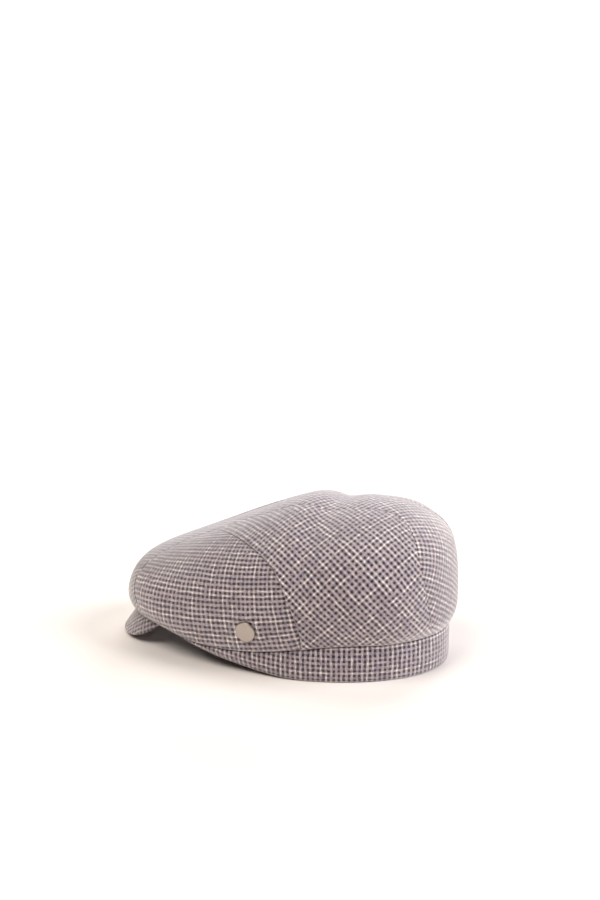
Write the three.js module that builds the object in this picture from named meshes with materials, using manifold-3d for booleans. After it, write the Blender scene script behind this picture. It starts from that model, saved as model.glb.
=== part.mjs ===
// Soft driving cap lying on a surface, made of sewn cloth panels with a metal stud on one side.
// Millimetres, +Z up. The peak points to -Y and the wearer's left is +X.
// The origin is on the resting surface, under the middle of the cap's box.
// "ahead" is measured from the back of the band towards the peak, "side" from the middle plane.
import * as THREE from "three";
import { mergeVertices } from "three/addons/utils/BufferGeometryUtils.js";
import Module from "manifold-3d";

// Driving dimensions
const BAND_BACK_Y = 131.86; // y of the band's back, where ahead is 0
const CLOTH = 2.2; // crown wall: cloth with its backing
const BAND_CLOTH = 3; // doubled cloth of the band
const PEAK_BOARD = 3.4; // peak: board with cloth on both faces
const PEAK_CORNER_BOARD = 2; // the board is pressed thin where it is sewn in
const SEAM_GAP = 0.3; // between neighbouring pieces

// Head opening seen from above: a half ellipse behind, a squarer half in front
const OPENING = { middle: 116, rear: 116, front: 117, half: 78, frontPower: 2.5 };
// Lower edge of the band: flat on the surface behind, arched up towards the peak's corners
const ARCH = { start: 89, span: 125, rise: 19.5, power: 1.7 };
// Height of the band: full at the back, falling to the corners, then a low strip behind the peak
const BAND = { full: 29.5, corner: 3, fallsFrom: 44, fallsTo: 214, frontStrip: 8, frontTo: 228 };
const OVERHANG = 1; // crown edge past the band's outer face

// Crown: one row for each rib, from the hem over the peak to the back of the band.
// A rib leaves the spine sideways by "lead", is drawn towards the shoulder and ends on the band's seam.
// "centre" is the share of the rib that belongs to the centre panel.
const RIB_COLUMNS = [
  "ahead", "up", "lead", "shoulderSide", "shoulderAhead", "shoulderUp", "baseAhead", "centre",
];
const RIBS = [
  [259.5, 19.5, 25.1, 47.6, 239.6, 19.5, 209.8, 0.86],
  [261.7, 40.0, 30.0, 62.0, 247.0, 33.0, 201.0, 0.72],
  [250.5, 61.0, 36.0, 76.0, 233.0, 51.0, 189.0, 0.38],
  [217.0, 79.5, 40.0, 84.0, 204.0, 68.0, 172.0, 0.17],
  [182.0, 94.6, 43.0, 90.0, 172.0, 84.0, 154.0, 0.14],
  [146.0, 109.8, 45.0, 95.0, 141.0, 92.0, 134.0, 0.14],
  [110.0, 123.8, 46.0, 99.5, 112.0, 92.0, 114.0, 0.14],
  [88.0, 122.0, 45.0, 100.5, 92.0, 91.0, 102.0, 0.145],
  [64.0, 125.2, 45.0, 99.5, 70.0, 93.0, 88.0, 0.13],
  [28.5, 120.5, 44.0, 94.0, 39.0, 94.0, 70.0, 0.15],
  [1.5, 98.0, 36.0, 80.0, 14.0, 79.0, 54.0, 0.385],
  [-5.5, 48.0, 25.0, 58.0, 6.0, 46.0, 41.0, 0.435],
  [-1.0, 29.5, 19.5, 38.5, 9.7, 29.5, 29.0, 0.41],
];

// Seam between a front side panel and a rear panel, as places along the crown from hem (0) to back (1)
const SIDE_SEAM = { atCentre: 0.331, atBand: 0.651, upperPower: 1.2, lowerPower: 6 };
const SEAM_TRIM = { along: 0.0006, across: 0.0014 }; // half a seam gap, in shares of the crown

// Peak: it leaves the band, passes behind the hem and turns down to its rim
const PEAK_ROOT = { up: 3.6, gap: 0.5, endAhead: 219 }; // sewn edge beside the band, up to its corners
const PEAK_BEND = { share: 0.55, crest: 0.55, tuck: 0.6 }; // where the board turns, close behind the hem
const PEAK_RIM = { reach: 12.5, up: 1.95, cornerDrop: 2, risePower: 4 }; // free edge below the hem
const PEAK_WIDTH = 0.87; // share of the hem that the peak spans
const PEAK_ROOT_BLEND = 0.4; // share of the depth over which the board turns square to its face

// Stud on the wearer's left
const STUD_PLACE = { along: 0.4263, across: 0.916 };
const STUD = { radius: 8, thick: 1.7, edge: 0.5, post: 2, plate: 4.5, plateThick: 1 };
const STUD_HOLE = { play: 0.3, depth: 13 };
const STUD_SIDES = 28;

// Cells of each panel's grid
const CELLS = { sideAlong: 18, rearAlong: 24, down: 14, centreAcross: 8 };
const BAND_CELLS = 72;
const PEAK_CELLS = { across: 28, deep: 9 };

// Steps for slopes, in shares of the outline, of the crown and of the peak
const STEP = { outline: 0.002, outlineEnd: 0.0005, crown: 0.004, peak: 0.01 };
const WELD = 0.001; // points closer than this are one

const CLOTH_LOOK = { color: 0x8f8790, roughness: 0.92, metalness: 0 };
const METAL_LOOK = { color: 0xa59b91, roughness: 0.42, metalness: 1 };

const wasm = await Module();
wasm.setup();

// Small tools

function place(side, ahead, up) {
  return new THREE.Vector3(side, BAND_BACK_Y - ahead, up);
}

function smoothstep(from, to, value) {
  return THREE.MathUtils.smoothstep(value, from, to);
}

function mirrored(point) {
  return new THREE.Vector3(-point.x, point.y, point.z);
}

// Smooth value of every column at a place along the rows of a table, 0 to 1
function tableRow(columns, rows, share) {
  const last = rows.length - 1;
  const at = THREE.MathUtils.clamp(share, 0, 1) * last;
  const low = Math.min(Math.floor(at), last - 1);
  const t = at - low;
  const value = {};
  columns.forEach((column, c) => {
    const here = rows[low][c];
    const next = rows[low + 1][c];
    const before = low > 0 ? rows[low - 1][c] : 2 * here - next;
    const after = low + 2 <= last ? rows[low + 2][c] : 2 * next - here;
    const slopeHere = (next - before) / 2;
    const slopeNext = (after - here) / 2;
    const rise = next - here;
    const bend2 = 3 * rise - 2 * slopeHere - slopeNext;
    const bend3 = slopeHere + slopeNext - 2 * rise;
    value[column] = here + t * (slopeHere + t * (bend2 + t * bend3));
  });
  return value;
}

// Band

// Outline of the head opening on the wearer's left: turn 0 at the back, 1 at the front
function openingPoint(turn) {
  const { middle, rear, front, half, frontPower } = OPENING;
  const angle = turn * Math.PI;
  const along = Math.abs(Math.cos(angle));
  const across = Math.sin(angle);
  if (turn <= 0.5) return new THREE.Vector2(half * across, middle - rear * along);
  const power = 2 / frontPower;
  return new THREE.Vector2(half * across ** power, middle + front * along ** power);
}

// Outward direction of the opening's outline, as side and ahead
function openingNormal(turn) {
  const from = openingPoint(Math.max(turn - STEP.outline, STEP.outlineEnd));
  const to = openingPoint(Math.min(turn + STEP.outline, 1 - STEP.outlineEnd));
  return new THREE.Vector2(to.y - from.y, from.x - to.x).normalize();
}

// The turn at which the outline reaches a place ahead
function openingTurn(ahead) {
  const { middle, rear, front, frontPower } = OPENING;
  if (ahead <= middle) return Math.acos((middle - ahead) / rear) / Math.PI;
  return 1 - Math.acos(((ahead - middle) / front) ** (frontPower / 2)) / Math.PI;
}

function bandBottom(ahead) {
  return ARCH.rise * (Math.max(0, ahead - ARCH.start) / ARCH.span) ** ARCH.power;
}

function bandHeight(ahead) {
  const { full, corner, fallsFrom, fallsTo, frontStrip, frontTo } = BAND;
  const fall = THREE.MathUtils.clamp((ahead - fallsFrom) / (fallsTo - fallsFrom), 0, 1);
  const visible = corner + ((full - corner) * (1 + Math.cos(Math.PI * fall))) / 2;
  return visible + (frontStrip - corner) * smoothstep(fallsTo, frontTo, ahead);
}

// Where a rib ends, just outside the band's upper edge
function seamPoint(ahead) {
  const turn = openingTurn(ahead);
  const edge = openingPoint(turn).addScaledVector(openingNormal(turn), OVERHANG);
  return place(edge.x, edge.y, bandBottom(ahead) + bandHeight(ahead));
}

// Crown

function ribAt(along) {
  return tableRow(RIB_COLUMNS, RIBS, along);
}

// A point of the crown's outer face on the wearer's left:
// along runs from the hem (0) to the back (1), across from the spine (0) to the band's seam (1)
function crownPoint(along, across) {
  const rib = ribAt(along);
  const curve = new THREE.CubicBezierCurve3(
    place(0, rib.ahead, rib.up),
    place(rib.lead, rib.ahead, rib.up),
    place(rib.shoulderSide, rib.shoulderAhead, rib.shoulderUp),
    seamPoint(rib.baseAhead),
  );
  return curve.getPoint(across);
}

function crownNormal(along, across) {
  const after = (value) => Math.min(value + STEP.crown, 1);
  const before = (value) => Math.max(value - STEP.crown, 0);
  const sideways = crownPoint(along, after(across)).sub(crownPoint(along, before(across)));
  const backwards = crownPoint(after(along), across).sub(crownPoint(before(along), across));
  return sideways.cross(backwards).normalize();
}

// The place along the crown where the side seam lies, down from the centre panel (0) to the band (1)
function sideSeam(down) {
  const { atCentre, atBand, upperPower, lowerPower } = SIDE_SEAM;
  const ahead = (1 - down ** upperPower) * (1 - down ** lowerPower);
  return atBand - (atBand - atCentre) * ahead;
}

// A closed wall between an outer and an inner grid of points, faces pointing out
function wallGeometry(rows, columns, outerAt, innerAt) {
  const width = columns + 1;
  const layer = (rows + 1) * width;
  const points = [];
  for (const pointAt of [outerAt, innerAt])
    for (let i = 0; i <= rows; i++)
      for (let j = 0; j <= columns; j++) points.push(pointAt(i / rows, j / columns));
  const index = [];
  const quad = (a, b, c, d) => index.push(a, b, c, a, c, d);
  const outer = (i, j) => i * width + j;
  const inner = (i, j) => layer + i * width + j;
  for (let i = 0; i < rows; i++)
    for (let j = 0; j < columns; j++) {
      quad(outer(i, j), outer(i, j + 1), outer(i + 1, j + 1), outer(i + 1, j));
      quad(inner(i, j), inner(i + 1, j), inner(i + 1, j + 1), inner(i, j + 1));
    }
  for (let i = 0; i < rows; i++) {
    quad(outer(i, 0), outer(i + 1, 0), inner(i + 1, 0), inner(i, 0));
    quad(outer(i, columns), inner(i, columns), inner(i + 1, columns), outer(i + 1, columns));
  }
  for (let j = 0; j < columns; j++) {
    quad(outer(0, j), inner(0, j), inner(0, j + 1), outer(0, j + 1));
    quad(outer(rows, j), outer(rows, j + 1), inner(rows, j + 1), inner(rows, j));
  }
  return new THREE.BufferGeometry().setFromPoints(points).setIndex(index);
}

// The same piece on the other side of the cap
function mirroredGeometry(geometry) {
  const copy = geometry.clone().scale(-1, 1, 1);
  const index = copy.index.array;
  for (let i = 0; i < index.length; i += 3) {
    const second = index[i + 1];
    index[i + 1] = index[i + 2];
    index[i + 2] = second;
  }
  return copy;
}

// Wall of a crown panel whose grid is laid out by a function that gives along and across
function panelGeometry(rows, columns, layout) {
  const outerAt = (i, j) => crownPoint(...layout(i, j));
  const innerAt = (i, j) => outerAt(i, j).addScaledVector(crownNormal(...layout(i, j)), -CLOTH);
  return wallGeometry(rows, columns, outerAt, innerAt);
}

function sidePanel() {
  return panelGeometry(CELLS.sideAlong, CELLS.down, (i, j) => {
    const along = i * (sideSeam(j) - SEAM_TRIM.along);
    const from = ribAt(along).centre + SEAM_TRIM.across;
    return [along, from + j * (1 - from)];
  });
}

function rearPanel() {
  return panelGeometry(CELLS.rearAlong, CELLS.down, (i, j) => {
    const start = sideSeam(j) + SEAM_TRIM.along;
    const along = start + i * (1 - start);
    const from = ribAt(along).centre + SEAM_TRIM.across;
    return [along, from + j * (1 - from)];
  });
}

// The strip's rows match those of the panels beside it, so that the two edges run parallel
function centrePanel() {
  const rows = CELLS.sideAlong + CELLS.rearAlong;
  const alongAt = (i) => {
    const row = i * rows;
    const seam = sideSeam(0);
    if (row <= CELLS.sideAlong) return (row / CELLS.sideAlong) * seam;
    return seam + ((row - CELLS.sideAlong) / CELLS.rearAlong) * (1 - seam);
  };
  const layout = (i, j) => {
    const along = alongAt(i);
    const share = 2 * j - 1;
    return [along, Math.abs(share) * (ribAt(along).centre - SEAM_TRIM.across), share < 0];
  };
  const outerAt = (i, j) => {
    const [along, across, right] = layout(i, j);
    const point = crownPoint(along, across);
    return right ? mirrored(point) : point;
  };
  const innerAt = (i, j) => {
    const [along, across, right] = layout(i, j);
    const point = crownPoint(along, across).addScaledVector(crownNormal(along, across), -CLOTH);
    return right ? mirrored(point) : point;
  };
  return wallGeometry(rows, CELLS.centreAcross, outerAt, innerAt);
}

// Band ring: a four-cornered section carried round the opening
function bandGeometry() {
  const points = [];
  for (let i = 0; i < BAND_CELLS; i++) {
    const share = (2 * i) / BAND_CELLS;
    const left = share <= 1;
    const turn = left ? share : 2 - share;
    const outer = openingPoint(turn);
    const inner = outer.clone().addScaledVector(openingNormal(turn), -BAND_CLOTH);
    const bottom = bandBottom(outer.y);
    const top = bottom + bandHeight(outer.y) - SEAM_GAP;
    const corners = [
      place(outer.x, outer.y, bottom),
      place(outer.x, outer.y, top),
      place(inner.x, inner.y, top),
      place(inner.x, inner.y, bottom),
    ];
    points.push(...(left ? corners : corners.map(mirrored)));
  }
  const corners = points.length / BAND_CELLS;
  const corner = (i, k) => (i % BAND_CELLS) * corners + (k % corners);
  const index = [];
  for (let i = 0; i < BAND_CELLS; i++)
    for (let k = 0; k < corners; k++) {
      index.push(corner(i, k), corner(i, k + 1), corner(i + 1, k + 1));
      index.push(corner(i, k), corner(i + 1, k + 1), corner(i + 1, k));
    }
  return new THREE.BufferGeometry().setFromPoints(points).setIndex(index);
}

// Peak: each section runs from the band, behind the hem, down to the rim. across is -1 to 1.
function peakSection(across) {
  const share = Math.abs(across);
  const hem = crownPoint(0, share * PEAK_WIDTH);
  const outward = crownNormal(0, share * PEAK_WIDTH).setZ(0).normalize();
  const behindHem = hem.clone().addScaledVector(outward, -CLOTH - PEAK_BEND.tuck);
  const climb = share ** PEAK_RIM.risePower;
  const rim = behindHem.clone().addScaledVector(outward, PEAK_RIM.reach * (1 - climb));
  rim.z = THREE.MathUtils.lerp(PEAK_RIM.up, hem.z - PEAK_RIM.cornerDrop, climb);
  const turn = 1 - share * (1 - openingTurn(PEAK_ROOT.endAhead));
  const edge = openingPoint(turn).addScaledVector(openingNormal(turn), PEAK_ROOT.gap);
  const root = place(edge.x, edge.y, bandBottom(edge.y) + PEAK_ROOT.up);
  const crest = behindHem.clone().lerp(rim, -PEAK_BEND.crest);
  return { root, crest, behindHem, rim };
}

function peakPoint(across, deep) {
  const { root, crest, behindHem, rim } = peakSection(across);
  const bend = PEAK_BEND.share;
  const point =
    deep < bend
      ? new THREE.QuadraticBezierCurve3(root, crest, behindHem).getPoint(deep / bend)
      : behindHem.lerp(rim, (deep - bend) / (1 - bend));
  return across < 0 ? mirrored(point) : point;
}

function peakNormal(across, deep) {
  const after = (value) => Math.min(value + STEP.peak, 1);
  const before = (value, lowest) => Math.max(value - STEP.peak, lowest);
  const sideways = peakPoint(after(across), deep).sub(peakPoint(before(across, -1), deep));
  const downwards = peakPoint(across, after(deep)).sub(peakPoint(across, before(deep, 0)));
  return downwards.cross(sideways).normalize();
}

function peakGeometry() {
  const straightDown = new THREE.Vector3(0, 0, -1);
  const outerAt = (i, j) => peakPoint(2 * j - 1, 1 - i);
  // The board's thickness is set straight down at the root, so that its end stands beside the band
  const innerAt = (i, j) => {
    const across = 2 * j - 1;
    const deep = 1 - i;
    const board = THREE.MathUtils.lerp(PEAK_BOARD, PEAK_CORNER_BOARD, across ** 2);
    const inward = peakNormal(across, deep).negate();
    inward.lerp(straightDown, 1 - smoothstep(0, PEAK_ROOT_BLEND, deep)).normalize();
    return outerAt(i, j).addScaledVector(inward, board);
  };
  return wallGeometry(PEAK_CELLS.deep, PEAK_CELLS.across, outerAt, innerAt);
}

// Stud: a flat disc with a softened edge, a post through the cloth and a plain plate behind it
function studGeometry() {
  const { radius, thick, edge, post, plate, plateThick } = STUD;
  const behind = -CLOTH - 2 * SEAM_GAP;
  const profile = [
    [0, behind - plateThick],
    [plate, behind - plateThick],
    [plate, behind],
    [post, behind],
    [post, SEAM_GAP],
    [radius, SEAM_GAP],
    [radius, SEAM_GAP + thick - edge],
    [radius - edge, SEAM_GAP + thick],
    [0, SEAM_GAP + thick],
  ].map(([r, h]) => new THREE.Vector2(r, h));
  return new THREE.LatheGeometry(profile, STUD_SIDES).rotateX(Math.PI / 2);
}

// Turns a piece modelled along +Z so that it stands on the crown where the stud sits
function studPlacement() {
  const point = crownPoint(STUD_PLACE.along, STUD_PLACE.across);
  const normal = crownNormal(STUD_PLACE.along, STUD_PLACE.across);
  const turn = new THREE.Quaternion().setFromUnitVectors(new THREE.Vector3(0, 0, 1), normal);
  return { point, turn };
}

function solidOf(geometry) {
  const bare = new THREE.BufferGeometry().setAttribute("position", geometry.getAttribute("position"));
  bare.setIndex(geometry.index);
  const merged = mergeVertices(bare, WELD);
  return new wasm.Manifold(
    new wasm.Mesh({
      numProp: 3,
      vertProperties: merged.attributes.position.array,
      triVerts: new Uint32Array(merged.index.array),
    }),
  );
}

function geometryOf(solid) {
  const mesh = solid.getMesh();
  return new THREE.BufferGeometry()
    .setAttribute("position", new THREE.BufferAttribute(mesh.vertProperties, 3))
    .setIndex(new THREE.BufferAttribute(mesh.triVerts, 1));
}

// The left side panel has a round hole for the stud's post
function sidePanelWithHole() {
  const { point, turn } = studPlacement();
  const radius = STUD.post + STUD_HOLE.play;
  const hole = new THREE.CylinderGeometry(radius, radius, STUD_HOLE.depth, STUD_SIDES);
  hole.rotateX(Math.PI / 2).applyQuaternion(turn).translate(point.x, point.y, point.z);
  return geometryOf(solidOf(sidePanel()).subtract(solidOf(hole)));
}

// Assembly

const cap = new THREE.Group();

function addPiece(name, geometry, look) {
  const mesh = new THREE.Mesh(geometry, new THREE.MeshStandardMaterial(look));
  mesh.name = name;
  cap.add(mesh);
  return mesh;
}

addPiece("centre_panel", centrePanel(), CLOTH_LOOK);
addPiece("side_panel_left", sidePanelWithHole(), CLOTH_LOOK);
addPiece("side_panel_right", mirroredGeometry(sidePanel()), CLOTH_LOOK);
addPiece("rear_panel_left", rearPanel(), CLOTH_LOOK);
addPiece("rear_panel_right", mirroredGeometry(rearPanel()), CLOTH_LOOK);
addPiece("band", bandGeometry(), CLOTH_LOOK);
addPiece("peak", peakGeometry(), CLOTH_LOOK);

const stud = addPiece("side_stud", studGeometry(), METAL_LOOK);
const studPlace = studPlacement();
stud.position.copy(studPlace.point);
stud.quaternion.copy(studPlace.turn);

export default cap;
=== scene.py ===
# Driving cap of small checked cloth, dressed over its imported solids.
# Shapes are worked out in millimetres and scaled to metres when a mesh is made.
# The peak points to -Y and the wearer's left is +X. "ahead" runs from the band's back towards the peak.
import math

import bmesh
import bpy
import numpy as np
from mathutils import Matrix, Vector

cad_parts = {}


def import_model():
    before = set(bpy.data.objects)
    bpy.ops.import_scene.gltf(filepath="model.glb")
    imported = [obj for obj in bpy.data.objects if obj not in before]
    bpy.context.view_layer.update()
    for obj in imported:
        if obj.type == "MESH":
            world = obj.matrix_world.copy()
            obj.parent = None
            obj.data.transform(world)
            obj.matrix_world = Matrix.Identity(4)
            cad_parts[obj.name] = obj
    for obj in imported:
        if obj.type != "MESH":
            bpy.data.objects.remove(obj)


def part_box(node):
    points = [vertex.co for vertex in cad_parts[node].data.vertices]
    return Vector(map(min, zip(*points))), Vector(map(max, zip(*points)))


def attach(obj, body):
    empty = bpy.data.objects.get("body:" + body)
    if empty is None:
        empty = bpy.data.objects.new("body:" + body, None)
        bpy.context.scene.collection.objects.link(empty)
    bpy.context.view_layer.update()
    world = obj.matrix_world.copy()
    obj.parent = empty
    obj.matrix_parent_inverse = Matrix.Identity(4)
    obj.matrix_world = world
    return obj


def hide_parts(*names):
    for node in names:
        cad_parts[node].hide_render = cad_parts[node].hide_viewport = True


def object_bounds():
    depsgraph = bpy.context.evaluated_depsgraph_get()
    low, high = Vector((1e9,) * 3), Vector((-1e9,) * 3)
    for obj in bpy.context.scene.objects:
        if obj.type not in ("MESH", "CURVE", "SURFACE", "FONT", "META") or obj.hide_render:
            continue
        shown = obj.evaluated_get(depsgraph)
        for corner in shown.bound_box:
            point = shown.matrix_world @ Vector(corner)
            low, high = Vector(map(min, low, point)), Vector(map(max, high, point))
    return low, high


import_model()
cad_low, cad_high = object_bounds()

MM = 0.001
BODY = "root"

# Sizes shared with the solids
BAND_BACK_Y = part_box("band")[1].y / MM
CLOTH = 2.2
BAND_CLOTH = 3.0
PEAK_BOARD = 3.4
PEAK_CORNER_BOARD = 2.0
SEAM_GAP = 0.3
OPENING = dict(middle=116, rear=116, front=117, half=78, front_power=2.5)
ARCH = dict(start=89, span=125, rise=19.5, power=1.7)
BAND = dict(full=29.5, corner=3, falls_from=44, falls_to=214, front_strip=8, front_to=228)
OVERHANG = 1.0

# Crown: one row for each rib, from the hem over the peak to the back of the band.
# A rib leaves the spine sideways by "lead", is drawn towards the shoulder and ends on the band's seam.
# "centre" is the share of the rib that belongs to the centre panel.
RIB_COLUMNS = (
    "ahead", "up", "lead", "shoulder_side", "shoulder_ahead", "shoulder_up", "base_ahead", "centre",
)
RIBS = np.array([
    [259.5, 19.5, 25.1, 47.6, 239.6, 19.5, 209.8, 0.86],
    [261.7, 40.0, 30.0, 62.0, 247.0, 33.0, 201.0, 0.72],
    [250.5, 61.0, 36.0, 76.0, 233.0, 51.0, 189.0, 0.38],
    [217.0, 79.5, 40.0, 84.0, 204.0, 68.0, 172.0, 0.17],
    [182.0, 94.6, 43.0, 90.0, 172.0, 84.0, 154.0, 0.14],
    [146.0, 109.8, 45.0, 95.0, 141.0, 92.0, 134.0, 0.14],
    [110.0, 123.8, 46.0, 99.5, 112.0, 92.0, 114.0, 0.14],
    [88.0, 122.0, 45.0, 100.5, 92.0, 91.0, 102.0, 0.145],
    [64.0, 125.2, 45.0, 99.5, 70.0, 93.0, 88.0, 0.13],
    [28.5, 120.5, 44.0, 94.0, 39.0, 94.0, 70.0, 0.15],
    [1.5, 98.0, 36.0, 80.0, 14.0, 79.0, 54.0, 0.385],
    [-5.5, 48.0, 25.0, 58.0, 6.0, 46.0, 41.0, 0.435],
    [-1.0, 29.5, 19.5, 38.5, 9.7, 29.5, 29.0, 0.41],
])

# Seam between a front side panel and a rear panel, as places along the crown from hem (0) to back (1)
SIDE_SEAM = dict(at_centre=0.331, at_band=0.651, upper_power=1.2, lower_power=6)

# Peak: it leaves the band, passes behind the hem and turns down to its rim
PEAK_ROOT = dict(up=3.6, gap=0.5, end_ahead=219)
PEAK_BEND = dict(share=0.55, crest=0.55, tuck=0.6)
PEAK_RIM = dict(reach=12.5, up=1.95, corner_drop=2, rise_power=4)
PEAK_WIDTH = 0.87
PEAK_ROOT_BLEND = 0.4

# Stud on the wearer's left: its place along and across the crown, and its sizes
STUD_AT = (np.float64(0.4263), np.float64(0.916))
STUD = dict(radius=8, thick=1.7, edge=0.8, lip=0.3, dome=0.35, post=2, plate=4.5, plate_thick=1)

# Fine surface: cells of each grid, how much closer they lie at the edges, and steps for slopes
SIDE_CELLS = (170, 110)
REAR_CELLS = (190, 110)
CENTRE_CELLS = (400, 50)
PEAK_CELLS = (200, 50)
BAND_CELLS = 620
BAND_SECTION_POINTS = dict(arc=6, face=26)
STUD_POINTS = dict(round=96, edge=7, dome=7)
STUD_WELD = 1e-6
STUD_CREASE = 40
EDGE_CROWDING = 0.65
SLOPE_STEP = 0.003
OUTLINE_STEP = dict(turn=0.002, least=0.0005)

# Sewing: how deep a folded edge falls and over what reach, at seams, at the free hem and above the band
SEAM_FOLD = dict(depth=1.4, reach=1.6)
UNDER_FOLD = dict(depth=1.7, reach=3.2)
CENTRE_FOLD = dict(depth=0.35, reach=0.6)
HEM_FOLD = dict(depth=1.1, reach=1.3)
BAND_SEAM_FOLD = dict(depth=0.9, reach=2.6)
SEAM_DIP = dict(depth=0.3, reach=4.0)
PUCKER = dict(height=0.25, reach=8.0, long=9.3, short=6.1, phase=1)
SEAM_RIDGE = dict(height=0.8, reach=5.5)
SEAM_GROWS = dict(over=(10, 55), least=0.15)

# Slow unevenness of the cloth: its height, and waves by their lengths along X, Y and Z and their starts
UNDULATION = 0.45
UNDULATION_WAVES = (
    ((17, 23, math.inf), 0.6),
    ((math.inf, 13, -19), 1.9),
    ((29, math.inf, 11), 4.1),
)

# Band's bulge, folds and tuck under the crown, and how the stud presses into the cloth
BAND_BULGE = 0.8
BAND_FOLD = 1.2
BAND_HEM = dict(inward=2.1, climb=3.0, inside=0.6)
BAND_WAVES = 0.6
BAND_TUCK = dict(depth=3.5, grows=(95, 150), ends=(205, 222))
STUD_PRESS = dict(height=0.8, edge=8.4, crest=10.6, reach=6.0, quiet=(4, 14))
STUD_HOLLOW = dict(depth=1.0, at=8.8, reach=1.3, brow=1.2, way=(0, 0.5, 0.87))

# Stitches in the side seams
STITCH = dict(pitch=3.0, length=2.2, thickness=0.5, shortest=0.8, sunk=0.8, sides=8, rings=6, seed=7)
STITCH_UNIT_RADIUS = 0.5
SEAM_STEPS = 160
THREAD_TWIST = 2500

# Cloth: check and its yarns, plaid of light and violet lines, unevenness of the spun yarn, and painted shade
# between the yarns
CHECK = 3.9
YARNS_PER_CHECK = 8
LIGHT_YARNS = 4
LINE_YARNS = dict(middle=1.5, half=1.0)
PLAID_CHECKS = 14
WEFT = dict(strong_lines=(0, 1, 6, 9), weak_lines=0.6, violet=(4, 11), seed=0.0)
WARP = dict(strong_lines=(0, 2, 7, 11), weak_lines=0.2, violet=(5, 9), seed=31.7)
SLUB = dict(per_metre=160, apart=5.3, start=0.42, steepness=6, shade=0.5)
LIGHT_COVERS = 0.08
SPOT_VARIES = 0.42
MELANGE = 0.7
LINE_DIPS = 0.65
CROSSING_SHADE = 0.45
WARP_SHOWS_ABOVE = 0.5
# Painted shade: how much darker the colour is made in the valleys between crossing yarns
VALLEY_SHADE = 0.2
WANDER = dict(per_metre=110, reach=0.0020, detail=4, roughness=0.62)
HALF_STEP = 0.5
WEAVE_BUMP = {"Strength": 0.6, "Distance": 0.00015}

# How each panel lies on the cloth: turn in degrees from the cap's length, shift in millimetres and
# bend of its rows per millimetre
FLAT_CELLS = (36, 26)
FLAT_ROUNDS = 60
LENGTHWISE = np.array([0.0, 1.0, 0.0])
GRAIN_SIDE = dict(turn=-7, shift=(0, 0), bend=0.001)
GRAIN_REAR = dict(turn=-37, shift=(10, 4), bend=0)
GRAIN_CENTRE = dict(turn=57, shift=(0, 0), bend=0)
GRAIN_PEAK = dict(turn=-18, shift=(0, 0), bend=0)

# Colours as seen, 0 to 255
YARN_COLOURS = {
    "Dark weft": (57, 35, 36),
    "Dark warp": (79, 56, 57),
    "Light": (245, 227, 234),
    "Line": (250, 242, 235),
    "Violet": (58, 46, 72),
}
COOL_SPOT = (138, 138, 164)
WARM_SPOT = (224, 217, 210)
THREAD_DARK = (58, 46, 48)
THREAD_LIGHT = (92, 78, 80)
STUD_METAL = (182, 171, 163)
FLOOR = (244, 237, 231)
SKY = (255, 250, 246)
COOL_LIGHT = (247, 249, 255)
WARM_LIGHT = (255, 250, 244)
BLACK = (0, 0, 0, 1)

# Finishes
CLOTH_FINISH = {
    "Roughness": 0.92,
    "Specular IOR Level": 0.2,
    "Sheen Weight": 1.0,
    "Sheen Roughness": 0.52,
    "Sheen Tint": (1, 0.97, 0.95, 1),
}
STUD_GRAIN = dict(per_metre=900, detail=4, least_rough=0.34, varies=0.2)
THREAD_ROUGHNESS = 0.8
FLOOR_FINISH = {"Roughness": 0.9, "Specular IOR Level": 0.1}

# Light: cool from the right of the view and from behind the cap, warmer from high on its left
LIGHTS = dict(
    right=dict(azimuth=190, elevation=35, power=2.3, colour=COOL_LIGHT),
    right_low=dict(azimuth=190, elevation=12, power=0.7, colour=COOL_LIGHT),
    behind_low=dict(azimuth=270, elevation=12, power=2.6, colour=COOL_LIGHT),
    left_high=dict(azimuth=60, elevation=60, power=1.9, colour=WARM_LIGHT),
    far_high=dict(azimuth=300, elevation=60, power=0.97, colour=WARM_LIGHT),
)
LIGHT_SPREAD = 38
SKY_STRENGTH = 0.06

# Floor in metres: half its side, and how far it lies under the cap
FLOOR_HALF = 30.0
FLOOR_DROP = 0.0001

# View: the camera's place round a point above the origin, and how far its aim is turned off that point
VIEW = dict(azimuth=111.488, elevation=19.441, distance=1.6, height=0.05, pan=-0.397, tilt=3.706)
PHOTO_HEIGHT_PX = 900
FOCAL_PX = 2019.96
SENSOR = 36.0


# Small tools

def place(side, ahead, up):
    return np.stack(np.broadcast_arrays(side, BAND_BACK_Y - ahead, up), -1)


def unit(vectors):
    return vectors / np.linalg.norm(vectors, axis=-1, keepdims=True)


def mixed(a, b, share):
    return a + (b - a) * share


def smoothstep(start, end, value):
    t = np.clip((value - start) / (end - start), 0, 1)
    return t * t * (3 - 2 * t)


def smooth_rows(table, share):
    """Smooth values between the rows of a table, at shares of its length from 0 to 1."""
    at = np.clip(share, 0, 1) * (len(table) - 1)
    low = np.minimum(at.astype(int), len(table) - 2)
    padded = np.concatenate([[2 * table[0] - table[1]], table, [2 * table[-1] - table[-2]]])
    before, here, after, beyond = (padded[low + k] for k in range(4))
    t = (at - low).reshape(low.shape + (1,) * (table.ndim - 1))
    slope_here = (after - before) / 2
    slope_after = (beyond - here) / 2
    rise = after - here
    bend2 = 3 * rise - 2 * slope_here - slope_after
    bend3 = slope_here + slope_after - 2 * rise
    return here + t * (slope_here + t * (bend2 + t * bend3))


def crowded(cells):
    """Shares from 0 to 1 that lie closer together at both ends."""
    t = np.linspace(0, 1, cells + 1)
    return t - EDGE_CROWDING * np.sin(2 * np.pi * t) / (2 * np.pi)


def linear(colour):
    """Linear red, green, blue and full alpha of a colour given as seen, by the sRGB curve."""
    c = np.array(colour) / 255
    return tuple(np.where(c <= 0.04045, c / 12.92, ((c + 0.055) / 1.055) ** 2.4)) + (1.0,)


# Band and crown, as in the solids

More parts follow.
